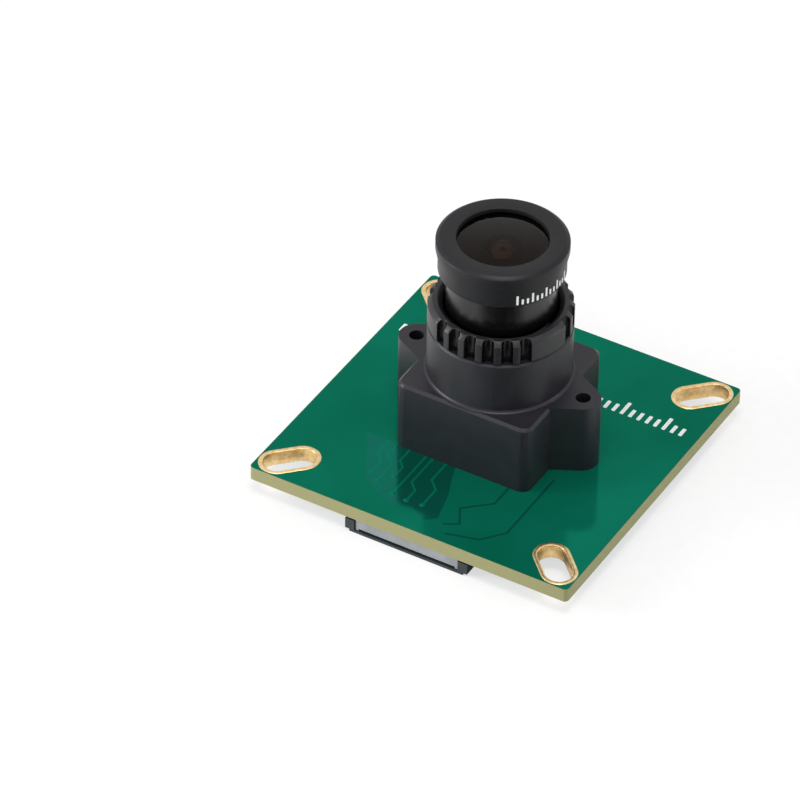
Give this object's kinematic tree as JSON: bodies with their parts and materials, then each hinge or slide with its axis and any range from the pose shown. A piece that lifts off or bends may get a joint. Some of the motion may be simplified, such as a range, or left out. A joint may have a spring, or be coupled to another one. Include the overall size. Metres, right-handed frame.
{
  "type": "camera module",
  "caption": "Square board camera module with a screw-in lens in a moulded holder, a lock ring, slotted corners and a flat-cable connector underneath.",
  "frame": {"origin": "on the resting plane, straight below the lens axis at the middle of the board", "axes": "+Z the way the lens looks, -Y the way the connector's mouth faces"},
  "size_m": [0.038, 0.038, 0.0287],
  "materials": {
    "solder_mask": "glossy green solder mask over glass-fibre laminate",
    "gold_plating": "immersion gold on copper, satin",
    "holder_plastic": "moulded black glass-filled plastic, fine satin",
    "screw_steel": "bright zinc-plated steel",
    "black_anodised_ring": "turned and milled, black anodised",
    "black_anodised_barrel": "turned, black anodised, satin",
    "coated_front_glass": "polished glass with a brown anti-reflection coating",
    "blackened_spacer": "turned and blackened",
    "bronzed_stop": "thin stamped brass, dark bronzed",
    "optical_glass": "polished optical glass",
    "infrared_filter_glass": "cyan-tinted coated glass",
    "package_ceramic": "pressed dark ceramic",
    "silicon_die": "polished silicon with fine structure",
    "cover_glass": "clear flat glass",
    "connector_nylon": "moulded pale grey plastic",
    "slider_nylon": "moulded black plastic",
    "tinned_metal": "tin-plated brass",
    "black_epoxy": "moulded black epoxy",
    "oscillator_ceramic": "ceramic base with a metal lid",
    "tantalum_moulding": "moulded ochre epoxy",
    "capacitor_ceramic": "tan sintered ceramic with tinned ends",
    "resistor_glaze": "black glaze on white ceramic with tinned ends",
    "ferrite": "grey-black sintered ferrite with tinned ends"
  },
  "bodies": {
    "root": {"circuit_board": "solder_mask", "slot_linings": "gold_plating", "lens_holder": "holder_plastic", "holder_screws": "screw_steel", "infrared_filter": "infrared_filter_glass", "sensor_package": "package_ceramic", "sensor_die": "silicon_die", "sensor_cover_glass": "cover_glass", "connector_housing": "connector_nylon", "connector_contacts": "gold_plating", "connector_anchors": "tinned_metal", "voltage_regulators": "black_epoxy", "clock_oscillator": "oscillator_ceramic", "memory_chip": "black_epoxy", "tantalum_capacitors": "tantalum_moulding", "ceramic_capacitors": "capacitor_ceramic", "chip_resistors": "resistor_glaze", "ferrite_chokes": "ferrite"},
    "optics": {"front_element": "coated_front_glass", "aperture_stop": "bronzed_stop", "front_spacer": "blackened_spacer", "second_element": "optical_glass", "middle_spacer": "blackened_spacer", "third_element": "optical_glass", "fourth_element": "optical_glass", "rear_spacer": "blackened_spacer", "rear_element": "optical_glass"},
    "lens_barrel": {"lens_barrel": "black_anodised_barrel", "rear_retaining_ring": "blackened_spacer"},
    "lock_ring": {"lock_ring": "black_anodised_ring"},
    "connector_slider": {"connector_slider": "slider_nylon"}
  },
  "joints": [
    {"name": "focus_travel", "type": "slide", "parent": "root", "child": "optics", "axis": [0, 0, 1], "range_m": [-0.0005, 0.0005]},
    {"name": "focus_turn", "type": "hinge", "parent": "optics", "child": "lens_barrel", "pos_m": [0, 0, 0.02], "axis": [0, 0, 1], "range_deg": [-360, 360]},
    {"name": "lock_ring_turn", "type": "hinge", "parent": "root", "child": "lock_ring", "pos_m": [0, 0, 0.0193], "axis": [0, 0, 1], "range_deg": [0, 90]},
    {"name": "slider_pull", "type": "slide", "parent": "root", "child": "connector_slider", "axis": [0, -1, 0], "range_m": [0, 0.0009]}
  ],
  "couplings": [
    {"joint": "focus_turn", "follows": "focus_travel", "rad_per_m": 12566}
  ]
}
